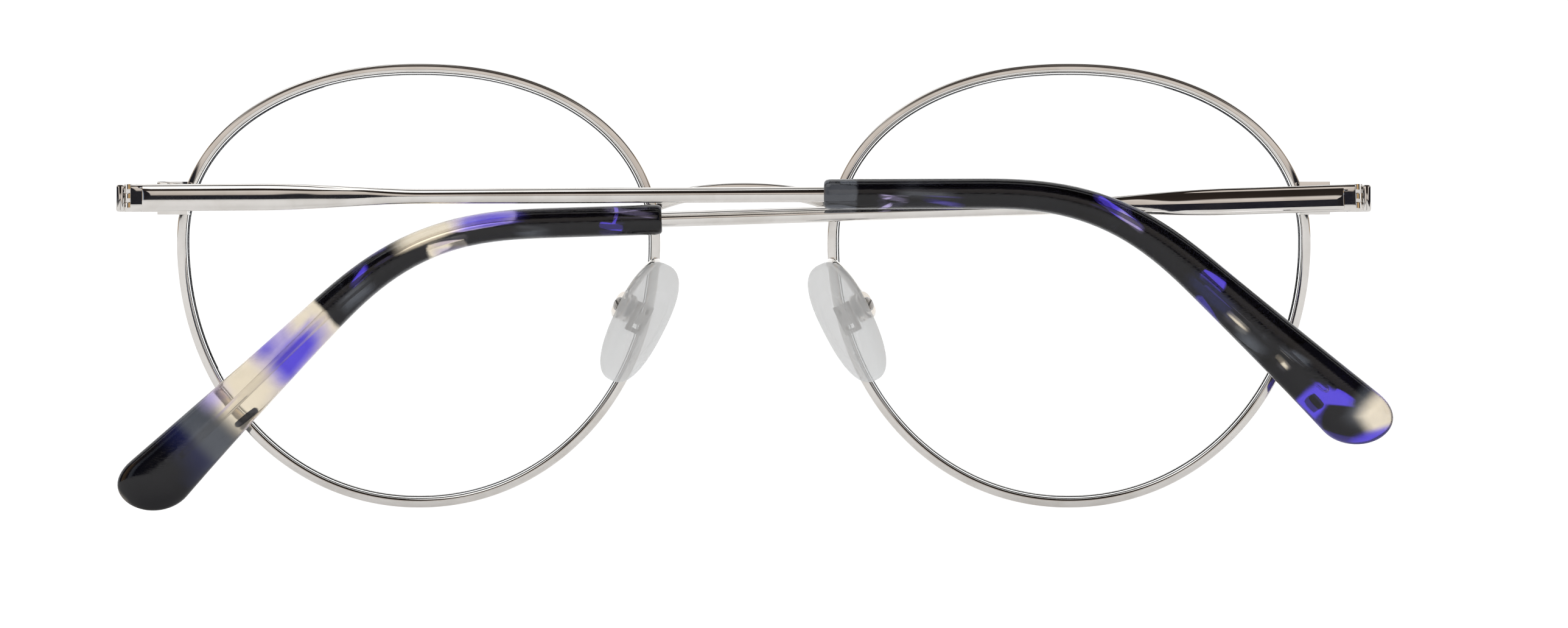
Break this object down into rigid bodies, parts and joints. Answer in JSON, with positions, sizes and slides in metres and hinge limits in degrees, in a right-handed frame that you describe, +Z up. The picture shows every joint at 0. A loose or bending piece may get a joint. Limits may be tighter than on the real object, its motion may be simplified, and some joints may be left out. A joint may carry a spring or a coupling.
{
  "type": "round wire eyeglasses",
  "caption": "Round wire eyeglasses with grooved metal rims, clear lenses, screw-on silicone nose pads and folding temples with mottled acetate tips.",
  "frame": {"origin": "midway between the two lenses, level with the middle of their height, at the depth of the lens middles", "axes": "+X towards the wearer's left, +Y from the lens fronts back to the ears, +Z up"},
  "size_m": [0.1393, 0.0152, 0.049],
  "materials": {
    "polished_metal": "polished, warm silver",
    "screw_steel": "fine turned",
    "mottled_acetate": "polished, black with violet and cream patches",
    "clear_lens": "clear, polished",
    "clear_silicone": "clear, soft gloss"
  },
  "bodies": {
    "front": {"bridge": "polished_metal", "rim_left": "polished_metal", "rim_right": "polished_metal", "lens_left": "clear_lens", "lens_right": "clear_lens", "end_piece_left": "polished_metal", "end_piece_right": "polished_metal", "rim_lock_upper_left": "polished_metal", "rim_lock_upper_right": "polished_metal", "rim_lock_lower_left": "polished_metal", "rim_lock_lower_right": "polished_metal", "rim_lock_screw_left": "screw_steel", "rim_lock_screw_right": "screw_steel", "front_hinge_left": "polished_metal", "front_hinge_right": "polished_metal", "hinge_screw_left": "screw_steel", "hinge_screw_right": "screw_steel", "pad_arm_left": "polished_metal", "pad_arm_right": "polished_metal", "pad_box_left": "polished_metal", "pad_box_right": "polished_metal", "pad_screw_left": "screw_steel", "pad_screw_right": "screw_steel"},
    "temple_arm_left": {"temple_left": "polished_metal", "temple_tip_left": "mottled_acetate", "temple_hinge_left": "polished_metal"},
    "temple_arm_right": {"temple_right": "polished_metal", "temple_tip_right": "mottled_acetate", "temple_hinge_right": "polished_metal"},
    "pad_left": {"nose_pad_left": "clear_silicone", "pad_insert_left": "screw_steel"},
    "pad_right": {"nose_pad_right": "clear_silicone", "pad_insert_right": "screw_steel"}
  },
  "joints": [
    {"name": "temple_fold_left", "type": "hinge", "parent": "front", "child": "temple_arm_left", "pos_m": [0.06665, 0.0065, 0.0096], "axis": [-0.0044, 0, -1], "range_deg": [0, 90.6]},
    {"name": "temple_fold_right", "type": "hinge", "parent": "front", "child": "temple_arm_right", "pos_m": [-0.06665, 0.0065, 0.0096], "axis": [0.0314, 0, 0.9995], "range_deg": [0, 93]},
    {"name": "pad_rock_left", "type": "hinge", "parent": "front", "child": "pad_left", "pos_m": [0.013, 0.0071, -0.0023], "axis": [0.6679, 0.6691, 0.3258], "range_deg": [-8, 8]},
    {"name": "pad_rock_right", "type": "hinge", "parent": "front", "child": "pad_right", "pos_m": [-0.013, 0.0071, -0.0023], "axis": [-0.6679, 0.6691, 0.3258], "range_deg": [-8, 8]}
  ]
}
